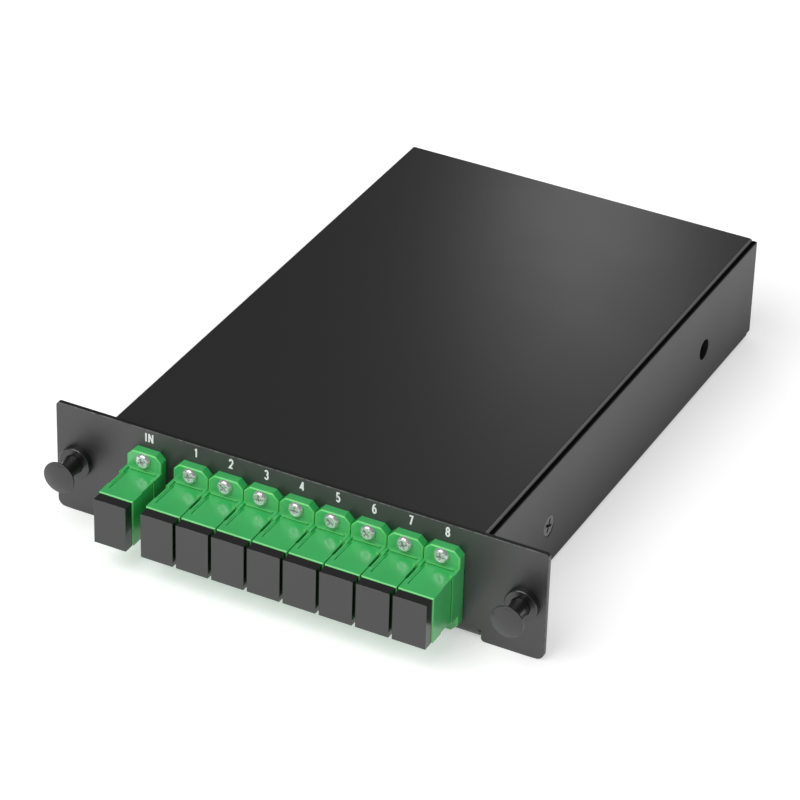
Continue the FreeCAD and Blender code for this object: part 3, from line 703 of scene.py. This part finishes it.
@dataclass
class Sheetwork:
    """The folded chassis and its folded cover."""

    edge: float = 0.16
    corner: float = 2.1
    brim: float = 28.2
    behind: float = 3.0

    def build(self) -> None:
        """Break the sheet edges, dress both and give some faces painted shade or painted
        highlights.
        """
        low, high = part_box("chassis")
        self.front = low[1]
        self.half = (high[0] - low[0]) / 2
        chassis = softened("chassis", "folded_chassis", self.edge,
                           choose=self.is_panel_outline)
        settle(chassis, ROOT, Finish.COAT, "chassis_steel", "chassis")
        cover = softened("cover", "folded_cover", self.edge)
        settle(cover, ROOT, Finish.COAT, "cover_steel", "cover")
        # Painted light: a glossier panel front and highlights on the panel's front edge and the
        # cover's bend; painted shade on the right wall, its top and the upward sheet edges
        for sheet, finish, rule in ((chassis, Finish.WALL, self.is_wall),
                                    (chassis, Finish.FRONT, self.is_front),
                                    (chassis, Finish.EDGE, self.is_brim),
                                    (chassis, Finish.BRIM, self.is_wall_top),
                                    (chassis, Finish.WORN, self.is_panel_edge),
                                    (cover, Finish.BEND, self.is_bend)):
            changed = WARDROBE.touch_up(sheet, finish, rule)
            LOG.info("%d faces of %s have the %s", changed, sheet.name, finish.value.name)

    def is_panel_outline(self, edge: bmesh.types.BMEdge) -> bool:
        """Whether an edge lies on the panel's front, along its top or round its ends."""
        ends = self.half - self.corner * MM
        return all(vert.co.y < self.front + HAIR and
                   (vert.co.z > self.brim * MM + MM / 2 or abs(vert.co.x) > ends)
                   for vert in edge.verts)

    def is_panel_edge(self, face: Face) -> bool:
        """Whether a face lies on the panel's front edge, at the top or at the right end."""
        outward = max(face.normal.z, face.normal.x)
        near = face.center.y < self.front + 2 * self.edge * MM
        return near and TILTED < outward < STEEP and face.normal.y < -TILTED

    def is_bend(self, face: Face) -> bool:
        """Whether a face lies on the cover's upper right bend."""
        return face.center.z > self.brim * MM and min(face.normal.x, face.normal.z) > TILTED

    def is_brim(self, face: Face) -> bool:
        """Whether a face of the chassis is a sheet edge that faces up."""
        return face.normal.z > STRAIGHT and face.center.z > self.brim * MM

    def is_front(self, face: Face) -> bool:
        """Whether a face lies on the front of the panel."""
        return face.normal.y < -STRAIGHT and face.center.y < self.front + MM / 2

    def is_wall(self, face: Face) -> bool:
        """Whether a face lies on the outside of the right wall."""
        return face.normal.x > UPRIGHT and face.center.y > self.front + self.behind * MM

    def is_wall_top(self, face: Face) -> bool:
        """Whether a face is the top edge of the right wall, which the cover shades."""
        return self.is_brim(face) and face.center.y > self.front + self.behind * MM


@dataclass
class Adapters:
    """Nine flanged adapters with their dust caps.

    The flange's front is broken all round, the collar ends in a thin lip with a short hook on
    the roof, and a fine ridge crosses the roof just ahead of the flange.
    """

    edge: float = 0.32
    cap_edge: float = 0.06
    lip: float = 0.3
    hook: float = 1.0
    ridge_ahead: float = 0.95
    ridge_wide: float = 0.22
    ridge_high: float = 0.12
    ridge_half: float = 3.5
    sunk: float = 0.05

    def build(self) -> None:
        """Model one adapter from its solid, repeat it, and dress each cap on its own body."""
        self.read_levels()
        pattern = softened("adapter_in", "adapter_pattern", self.edge, mark="broken",
                           choose=self.is_outline)
        self.add_trims(pattern)
        pattern.data.transform(Matrix.Translation(-middle("adapter_in")))
        places = [middle(port.adapter) for port in Port]
        # The marked rims get the lighter green of a painted highlight
        row = RepeatedPiece("adapter_row", Finish.ADAPTER, marked=Finish.ADAPTER_EDGE,
                            mark="broken").build(pattern, places)
        settle(row, ROOT, None, "green_plastic", *(port.adapter for port in Port))
        for port in Port:
            node = "dust_cap_" + port.value
            cap = softened(node, "cap_" + port.value, self.cap_edge)
            settle(cap, node, Finish.CAP, "black_cap", node)

    def read_levels(self) -> None:
        """Find the flange's front, the collar's front and both roofs on the solid."""
        points = [vert.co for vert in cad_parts["adapter_in"].data.vertices]
        peak = max(spot.z for spot in points)
        mouth = min(spot.y for spot in points)
        self.flange = min(spot.y for spot in points if spot.z > peak - HAIR)
        self.side = max(spot.x for spot in points)
        self.collar = min(spot.y for spot in points if spot.x > self.side - HAIR)
        self.roof = max(spot.z for spot in points if spot.y < mouth + MM)
        self.crest = max(spot.z for spot in points if spot.y < self.collar + HAIR)

    def is_outline(self, edge: bmesh.types.BMEdge) -> bool:
        """Whether an edge lies round the flange's front face."""
        ahead = all(abs(vert.co.y - self.flange) < HAIR for vert in edge.verts)
        return ahead and edge.is_convex and edge.calc_length() > MM

    def is_rim(self, face: bmesh.types.BMFace) -> bool:
        """Whether a face is part of the mouth's bevel or of the collar's thin front."""
        forward = -face.normal.y
        place = face.calc_center_median().y
        if SLANTED < forward < UPRIGHT:
            return place < self.collar
        return forward > UPRIGHT and abs(place - self.collar) < HAIR

    def add_trims(self, pattern: Thing) -> None:
        """Mark the rims of an adapter for their painted highlight and add its lip, hook and ridge.
        """
        axis = middle("adapter_in").x
        level = middle("adapter_in").z
        reach = self.side - axis
        lip = self.collar - self.lip * MM
        sunk = self.sunk * MM
        ridge = self.flange - self.ridge_ahead * MM
        built = bmesh.new()
        built.from_mesh(pattern.data)
        broken = built.faces.layers.bool["broken"]
        for face in built.faces:
            if self.is_rim(face):
                face[broken] = True
        for sign in (-1, 1):
            outer = axis + sign * reach
            self.add_bar(built, Vector((outer - sign * 3 * sunk, lip, 2 * level - self.roof)),
                         Vector((outer, self.collar + sunk, self.crest)))
        self.add_bar(built, Vector((self.side - self.hook * MM, lip, self.roof - sunk)),
                     Vector((self.side, self.collar + sunk, self.crest)))
        self.add_bar(built, Vector((axis - self.ridge_half * MM, ridge, self.crest - sunk)),
                     Vector((axis + self.ridge_half * MM, ridge + self.ridge_wide * MM,
                             self.crest + self.ridge_high * MM)))
        built.to_mesh(pattern.data)
        built.free()

    def add_bar(self, built: Built, low: Vector, high: Vector) -> None:
        """Add a closed bar between two corners, marked as a rim that takes the painted highlight.
        """
        broken = built.faces.layers.bool["broken"]
        half = (high - low) / 2
        size = Matrix.Diagonal((abs(half.x) * 2, abs(half.y) * 2, abs(half.z) * 2, 1.0))
        made = bmesh.ops.create_cube(built, size=1.0,
                                     matrix=Matrix.Translation(low + half) @ size)
        for face in {face for vert in made["verts"] for face in vert.link_faces}:
            face[broken] = True


@dataclass
class CrossScrew:
    """Screw with a cross recess, its axis along Y and its top towards -Y."""

    outline: Sequence[Pair]
    reach: float = 1.12
    half: float = 0.24
    depth: float = 0.75
    taper: float = 0.62
    corner: float = 0.10
    steps: int = 48

    def build(self, name: str) -> Thing:
        """Model the screw at the origin as a closed mesh."""
        built = bmesh.new()
        loops = turned(built, self.outline, self.steps)
        built.faces.new(loops[-1])
        top = self.outline[0][1]
        rim = self.cross(built, self.reach, self.half, top)
        sole = self.cross(built, self.reach * self.taper, self.half * self.taper,
                          top + self.depth)
        bridge(built, rim, sole)
        self.fill(built, loops[0], rim)
        self.fill(built, sole)
        return rounded_object(name, built)

    def cross(self, built: Built, reach: float, half: float, along: float) -> Loop:
        """Vertices of a cross with small inner corners, anticlockwise seen from +Y."""
        points = []
        inner = half + self.corner
        arm = [(reach, -half), (reach, half)]
        arm += bow(inner, inner, self.corner, self.corner, 270, 180, 3)
        for quarter in range(4):
            spin = math.radians(90 * quarter)
            for x, z in arm:
                points.append((x * math.cos(spin) - z * math.sin(spin),
                               x * math.sin(spin) + z * math.cos(spin)))
        return [built.verts.new(Vector((x, along, z)) * MM) for x, z in points]

    def fill(self, built: Built, *loops: Loop) -> None:
        """Fill the flat area between loops, or inside one."""
        edges = []
        for loop in loops:
            for index, vert in enumerate(loop):
                pair = (vert, loop[(index + 1) % len(loop)])
                edges.append(built.edges.get(pair) or built.edges.new(pair))
        bmesh.ops.triangle_fill(built, use_beauty=True, edges=edges)


@dataclass
class Screws:
    """Bright pan head screws on the flanges and black countersunk screws in the walls."""

    radius: float = 1.9
    seat: float = 1.4
    height: float = 1.05
    crown: float = 0.85
    plate: float = 1.2
    shank: float = 1.0
    length: float = 4.0
    edge: float = 0.06
    spread: float = 0.75
    seed: int = 8
    sunk_flat: float = 0.5
    sunk_rim: float = 0.24
    sunk_bevel: float = 0.1
    sunk_cone: float = 1.42
    sunk_shank: float = 1.5
    sunk_length: float = 4.4
    sunk_turn: float = 24.0

    def build(self) -> None:
        """Set the flange screws in two rows and the cover screws in the walls."""
        for row in ("upper", "lower"):
            self.build_row(row)
        self.build_sunk_pair()

    def pan_outline(self) -> list[Pair]:
        """Outline of a pan head from the flat of its top to its tip; Y counts from the seat."""
        crown = bow(self.plate, self.crown - self.height, self.radius - self.plate, self.crown,
                    -90, 0, 7)
        return crown + [(self.radius, -self.edge), (self.radius - self.edge, 0.0),
                        (self.shank, 0.0), (self.shank, self.length)]

    def sunk_outline(self, radius: float) -> list[Pair]:
        """Outline of a countersunk head, a hair below the wall; Y counts from the wall."""
        rim = radius - self.sunk_rim
        return [(radius - self.sunk_flat, self.edge), (rim, self.edge),
                (rim + self.sunk_bevel, self.edge + self.sunk_bevel),
                (self.sunk_shank, radius - self.sunk_cone), (self.sunk_shank, self.sunk_length)]

    def build_row(self, row: str) -> None:
        """Set one screw of each adapter in a row."""
        node = "flange_screws_" + row
        low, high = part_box(node)
        pattern = CrossScrew(self.pan_outline()).build("pan_" + row)
        level = (low[2] + high[2]) / 2
        seat = low[1] + self.seat * MM
        points = [(middle(port.adapter).x, seat, level) for port in Port]
        screws = RepeatedPiece("screws_" + row, Finish.SCREW, turn=self.spread,
                               seed=self.seed).build(pattern, points)
        settle(screws, ROOT, Finish.SCREW, "bright_screw", node)

    def build_sunk_pair(self) -> None:
        """Countersunk screws with a cross recess, one in each side wall."""
        low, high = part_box("cover_screws")
        spot = middle("cover_screws")
        outline = self.sunk_outline((high[2] - low[2]) / 2 / MM)
        screw = CrossScrew(outline, reach=1.75, half=0.36, depth=1.1, corner=0.16)
        built = bmesh.new()
        for sign, face in ((-1, low[0]), (1, high[0])):
            part = screw.build("sunk_screw")
            turn = Matrix.Rotation(math.radians(90 * sign), 4, "Z")
            spin = Matrix.Rotation(math.radians(self.sunk_turn), 4, "Y")
            part.data.transform(Matrix.Translation((face, spot.y, spot.z)) @ turn @ spin)
            built.from_mesh(part.data)
            bpy.data.objects.remove(part)
        settle(made_object("sunk_screws", built), ROOT, Finish.BLACK_SCREW, "black_screw",
               "cover_screws")


@dataclass
class Fastener:
    """Push-pull fastener of one ear: a bush with its collar, and a domed pull knob."""

    side: Side
    dome: float = 0.7
    edge: float = 0.10
    rim: float = 0.45
    thick: float = 1.8
    shaft: float = 2.4
    waist: float = 2.2
    gap: float = 5.7
    tip: float = 1.2
    point: float = 0.9
    bush_edge: float = 0.07
    steps: int = 96

    def build(self) -> None:
        """Turn the plunger and break the bush's edges."""
        self.build_plunger()
        self.build_bush()

    def head_outline(self, radius: float) -> list[Pair]:
        """Outline of the knob's head from its middle to the shaft, Y counted from the face."""
        face = radius - self.edge
        brim = self.dome + self.rim
        reach = face - self.shaft
        dome = [(face * step / 10, self.dome * (step / 10) ** 2) for step in range(11)]
        front = bow(face, self.dome + self.edge, self.edge, self.edge, -90, 0, 4)[1:]
        back = bow(face, self.thick, reach, self.thick - brim, 270, 180, 8)[1:]
        return dome + front + [(radius, brim - self.edge), (face, brim)] + back

    def neck_outline(self) -> list[Pair]:
        """Outline of the clear neck, a little waisted between the head and the collar."""
        points = []
        for step in range(1, 12):
            share = step / 12
            waist = (self.shaft - self.waist) * math.sin(math.pi * share)
            points.append((self.shaft - waist, self.thick + self.gap * share))
        return points

    def build_plunger(self) -> None:
        """Knob with a shallow dome, a thin rim and a waisted neck."""
        node = "plunger_" + self.side.value
        low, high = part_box(node)
        spot = middle(node)
        length = (high[1] - low[1]) / MM
        outline = self.head_outline((high[0] - low[0]) / 2 / MM) + self.neck_outline()
        outline += [(self.shaft, self.thick + self.gap), (self.shaft, length - self.tip),
                    (self.shaft - self.point, length), (0, length)]
        built = bmesh.new()
        turned(built, outline, self.steps)
        bmesh.ops.translate(built, verts=built.verts, vec=(spot.x, low[1], spot.z))
        knob = rounded_object("knob_" + self.side.value, built)
        settle(knob, node, Finish.KNOB, "black_nylon", node)

    def build_bush(self) -> None:
        """Bush with a softened collar."""
        node = "fastener_bush_" + self.side.value
        bush = softened(node, "bush_" + self.side.value, self.bush_edge)
        settle(bush, ROOT, Finish.KNOB, "black_nylon", node)


class Glyph(Enum):
    """Condensed characters as strokes in a box one wide and one high."""

    I = ([[(0.5, 0.0), (0.5, 1.0)]], 0.0)
    N = ([[(0.0, 0.0), (0.0, 1.0)], [(0.0, 1.0), (1.0, 0.0)], [(1.0, 0.0), (1.0, 1.0)]], 1.0)
    ONE = ([[(0.75, 0.0), (0.75, 1.0)], [(0.80, 0.98), (0.0, 0.72)]], 0.40)
    TWO = ([bow(0.5, 0.70, 0.5, 0.30, 170, -20) + [(0.0, 0.0), (1.0, 0.0)]], 0.80)
    THREE = ([bow(0.48, 0.76, 0.46, 0.24, 160, -90), bow(0.48, 0.27, 0.50, 0.27, 90, -160)],
             0.80)
    FOUR = ([[(0.70, 0.0), (0.70, 1.0)], [(0.70, 1.0), (0.0, 0.27), (1.0, 0.27)]], 0.90)
    FIVE = ([[(0.95, 1.0), (0.15, 1.0), (0.08, 0.52)] + bow(0.48, 0.31, 0.50, 0.31, 128, -155)],
            0.80)
    SIX = ([bow(0.5, 0.31, 0.5, 0.31, 0, 360), bow(0.62, 0.31, 0.62, 0.69, 180, 75)], 0.80)
    SEVEN = ([[(0.0, 1.0), (1.0, 1.0), (0.35, 0.0)]], 0.80)
    EIGHT = ([bow(0.5, 0.75, 0.43, 0.25, 0, 360), bow(0.5, 0.26, 0.5, 0.26, 0, 360)], 0.80)

    @property
    def strokes(self) -> list[Stroke]:
        """The strokes' middle lines."""
        return self.value[0]

    @property
    def width(self) -> float:
        """Width of the character's middle lines, in millimetres."""
        return self.value[1]


@dataclass
class Labels:
    """Port labels printed on the panel above the adapters."""

    level: float = 27.25
    height: float = 2.75
    stroke: float = 0.42
    gap: float = 0.40
    proud: float = 0.03
    layer: float = 0.008
    shift: float = 0.12
    mitre: float = 0.45

    def build(self) -> None:
        """Print every label as one thin mesh."""
        built = bmesh.new()
        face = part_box("chassis")[0][1] / MM
        for port in Port:
            glyphs = (Glyph.I, Glyph.N) if port is Port.IN else (Glyph[port.name],)
            across = middle(port.adapter).x / MM + self.shift
            total = sum(glyph.width + self.stroke for glyph in glyphs)
            total += self.gap * (len(glyphs) - 1)
            left = across - total / 2
            for glyph in glyphs:
                self.draw(built, glyph, left + self.stroke / 2, face)
                left += glyph.width + self.stroke + self.gap
        bmesh.ops.recalc_face_normals(built, faces=built.faces)
        settle(made_object("port_labels", built), ROOT, Finish.INK, "white_lead")

    def draw(self, built: Built, glyph: Glyph, left: float, face: float) -> None:
        """Add a character; left is where its middle lines begin, face the panel's Y."""
        tall = self.height - self.stroke
        foot = self.level - tall / 2
        for index, stroke in enumerate(glyph.strokes):
            line = [(left + x * glyph.width, foot + z * tall) for x, z in stroke]
            self.band(built, line, face, self.proud + self.layer * index)

    def band(self, built: Built, line: Stroke, face: float, proud: float) -> None:
        """Sweep one stroke as a thin closed band that stands just proud of the face.

        Args:
            built: the mesh being built.
            line: the stroke's middle line on the panel, in millimetres.
            face: Y of the panel's front face, in millimetres.
            proud: how far the band stands proud; crossing strokes differ a little.
        """
        loop = math.dist(line[0], line[-1]) < WELD
        points = line[:-1] if loop else line
        count = len(points)
        sections = []
        for index, (x, z) in enumerate(points):
            before = points[index - 1] if index or loop else None
            after = points[(index + 1) % count] if index < count - 1 or loop else None
            side, grow = self.corner(before, (x, z), after)
            half = self.stroke / 2 * grow
            section = []
            for sign, along in ((1, -proud), (-1, -proud), (-1, proud), (1, proud)):
                spot = Vector((x + side[0] * half * sign, face + along, z + side[1] * half * sign))
                section.append(built.verts.new(spot * MM))
            sections.append(section)
        for first, second in zip(sections, sections[1:]):
            bridge(built, first, second)
        if loop:
            bridge(built, sections[-1], sections[0])
        else:
            built.faces.new(sections[0])
            built.faces.new(sections[-1])

    def corner(self, before: Pair | None, here: Pair,
               after: Pair | None) -> tuple[Pair, float]:
        """Sideways direction at a point of a stroke and how far a mitre grows there."""
        ways = []
        if before:
            ways.append(Vector((here[0] - before[0], here[1] - before[1])).normalized())
        if after:
            ways.append(Vector((after[0] - here[0], after[1] - here[1])).normalized())
        along = sum(ways, Vector((0, 0))).normalized()
        grow = 1 / max(self.mitre, along.dot(ways[0]))
        return (-along.y, along.x), grow


INNER = {"alignment_sleeves": Finish.CERAMIC, "splitter_tube": Finish.TUBE,
         "fan_out_block": Finish.BLOCK, "splitter_saddles": Finish.CLIP,
         "lead_guides": Finish.CLIP, "output_leads": Finish.LEAD, "input_lead": Finish.LEAD,
         **{"rear_plug_" + port.value: Finish.PLUG for port in Port}}


def dress_inner() -> None:
    """Dress the pieces inside, which keep their solids."""
    for node, finish in INNER.items():
        WARDROBE.dress(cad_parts[node], finish)


# Studio

@dataclass(frozen=True)
class SoftBox:
    """Soft rectangular light, its places and sizes in metres and its power in watts."""

    name: str
    spot: Point
    aim: Point
    size: Pair
    power: float
    mirrored: bool = True

    def hang(self) -> None:
        """Add the light, facing its aim; glossy surfaces show it if it is mirrored."""
        lamp = bpy.data.lights.new(self.name, "AREA")
        lamp.shape = "RECTANGLE"
        lamp.size, lamp.size_y = self.size
        lamp.energy = self.power
        thing = bpy.data.objects.new(self.name, lamp)
        thing.location = self.spot
        thing.visible_glossy = self.mirrored
        thing.visible_camera = False
        way = Vector(self.spot) - Vector(self.aim)
        thing.rotation_euler = way.to_track_quat("Z", "Y").to_euler()
        bpy.context.scene.collection.objects.link(thing)


LIGHTS = (
    SoftBox("key_box", spot=(-0.38, -0.80, 1.02), aim=(0.0, -0.03, 0.0), size=(1.1, 1.1),
            power=13.0),
    SoftBox("side_box", spot=(0.95, -0.35, 0.60), aim=(0.05, 0.0, 0.0), size=(0.9, 0.9),
            power=2.6, mirrored=False),
    SoftBox("rear_box", spot=(-0.047, 0.201, 0.119), aim=(0.015, 0.058, 0.029),
            size=(0.05, 0.04), power=0.02),
)


@dataclass
class Studio:
    """Pale floor, soft lights and the camera."""

    target: Point = (0.0, 55.0, 15.0)
    azimuth: float = 26.335
    elevation: float = 32.198
    roll: float = 1.866
    distance: float = 939.35
    slide: Pair = (-1.594, -8.016)
    focal: float = 3848.4
    principal: Pair = (410.13, 384.33)
    picture: float = 800.0
    floor_matt: float = 0.75
    floor_glow: float = 0.45
    sky: float = 0.15
    fill: float = 0.45
    white: float = 0.983
    sensor: float = 36.0
    clip: Pair = (0.01, 50.0)
    floor_size: float = 6.0
    floor_drop: float = 0.1

    def build(self) -> None:
        """Set up everything that isn't the cassette."""
        self.add_camera()
        self.add_floor()
        for light in LIGHTS:
            light.hang()
        self.set_world()

    def add_camera(self) -> None:
        """Place the camera as the photograph's edges say."""
        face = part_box("chassis")[0][1]
        azimuth, elevation, roll = (math.radians(angle) for angle in
                                    (self.azimuth, self.elevation, self.roll))
        back = Vector((math.sin(azimuth) * math.cos(elevation),
                       -math.cos(azimuth) * math.cos(elevation), math.sin(elevation)))
        right = Vector((math.cos(azimuth), math.sin(azimuth), 0.0))
        up = back.cross(right)
        across = right * math.cos(roll) + up * math.sin(roll)
        over = up * math.cos(roll) - right * math.sin(roll)
        spot = Vector(self.target) + back * self.distance
        spot -= across * self.slide[0] + over * self.slide[1]
        spot = spot * MM + Vector((0, face, 0))
        lens = bpy.data.cameras.new("camera")
        lens.sensor_width = self.sensor
        lens.lens = self.focal / self.picture * lens.sensor_width
        lens.shift_x = -(self.principal[0] - self.picture / 2) / self.picture
        lens.shift_y = (self.principal[1] - self.picture / 2) / self.picture
        lens.clip_start, lens.clip_end = self.clip
        camera = bpy.data.objects.new("camera", lens)
        camera.matrix_world = Matrix((
            (across.x, over.x, back.x, spot.x), (across.y, over.y, back.y, spot.y),
            (across.z, over.z, back.z, spot.z), (0, 0, 0, 1)))
        bpy.context.scene.collection.objects.link(camera)
        bpy.context.scene.camera = camera

    def add_floor(self) -> None:
        """White floor that shows only the cassette's soft shadow."""
        built = bmesh.new()
        bmesh.ops.create_grid(built, x_segments=2, y_segments=2, size=self.floor_size)
        floor = made_object("floor", built)
        floor.location.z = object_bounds()[0][2] - self.floor_drop * MM
        graph = Graph("floor_white")
        rays = graph.add("ShaderNodeLightPath").outputs
        seen = graph.combine("MAXIMUM", rays["Is Camera Ray"], rays["Is Glossy Ray"])
        glow = graph.add("ShaderNodeEmission", Color=(1.0, 1.0, 1.0, 1.0),
                         Strength=graph.combine("MULTIPLY", seen, self.floor_glow))
        matt = graph.add("ShaderNodeBsdfDiffuse", Color=(*[self.floor_matt] * 3, 1.0))
        total = graph.add("ShaderNodeAddShader", matt.outputs[0], glow.outputs[0])
        floor.data.materials.append(graph.finish(total))
        floor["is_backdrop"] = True

    def set_world(self) -> None:
        """Near white for the camera, grey for soft fill and dim for reflections."""
        world = bpy.data.worlds.new("studio")
        world.use_nodes = True
        tree = Tree(world.node_tree)
        rays = tree.add("ShaderNodeLightPath").outputs
        seen = tree.combine("MAXIMUM", rays["Is Camera Ray"], rays["Is Transmission Ray"])
        fill = tree.add("ShaderNodeMapRange", Value=rays["Is Glossy Ray"], To_Min=self.fill,
                        To_Max=self.sky)
        strength = tree.add("ShaderNodeMix", seen, None, fill.outputs["Result"], self.white)
        shade = tree.add("ShaderNodeBackground", Strength=strength.outputs[0])
        tree.add("ShaderNodeOutputWorld", Surface=shade.outputs[0])
        bpy.context.scene.world = world


def main() -> None:
    """Build the looks in order."""
    logging.basicConfig(level=logging.INFO, format="%(name)s %(message)s")
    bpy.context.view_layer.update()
    Sheetwork().build()
    Adapters().build()
    Screws().build()
    for side in Side:
        Fastener(side).build()
    Labels().build()
    dress_inner()
    Studio().build()
    bpy.context.scene.view_settings.view_transform = "Standard"


if __name__ == "__main__":
    main()
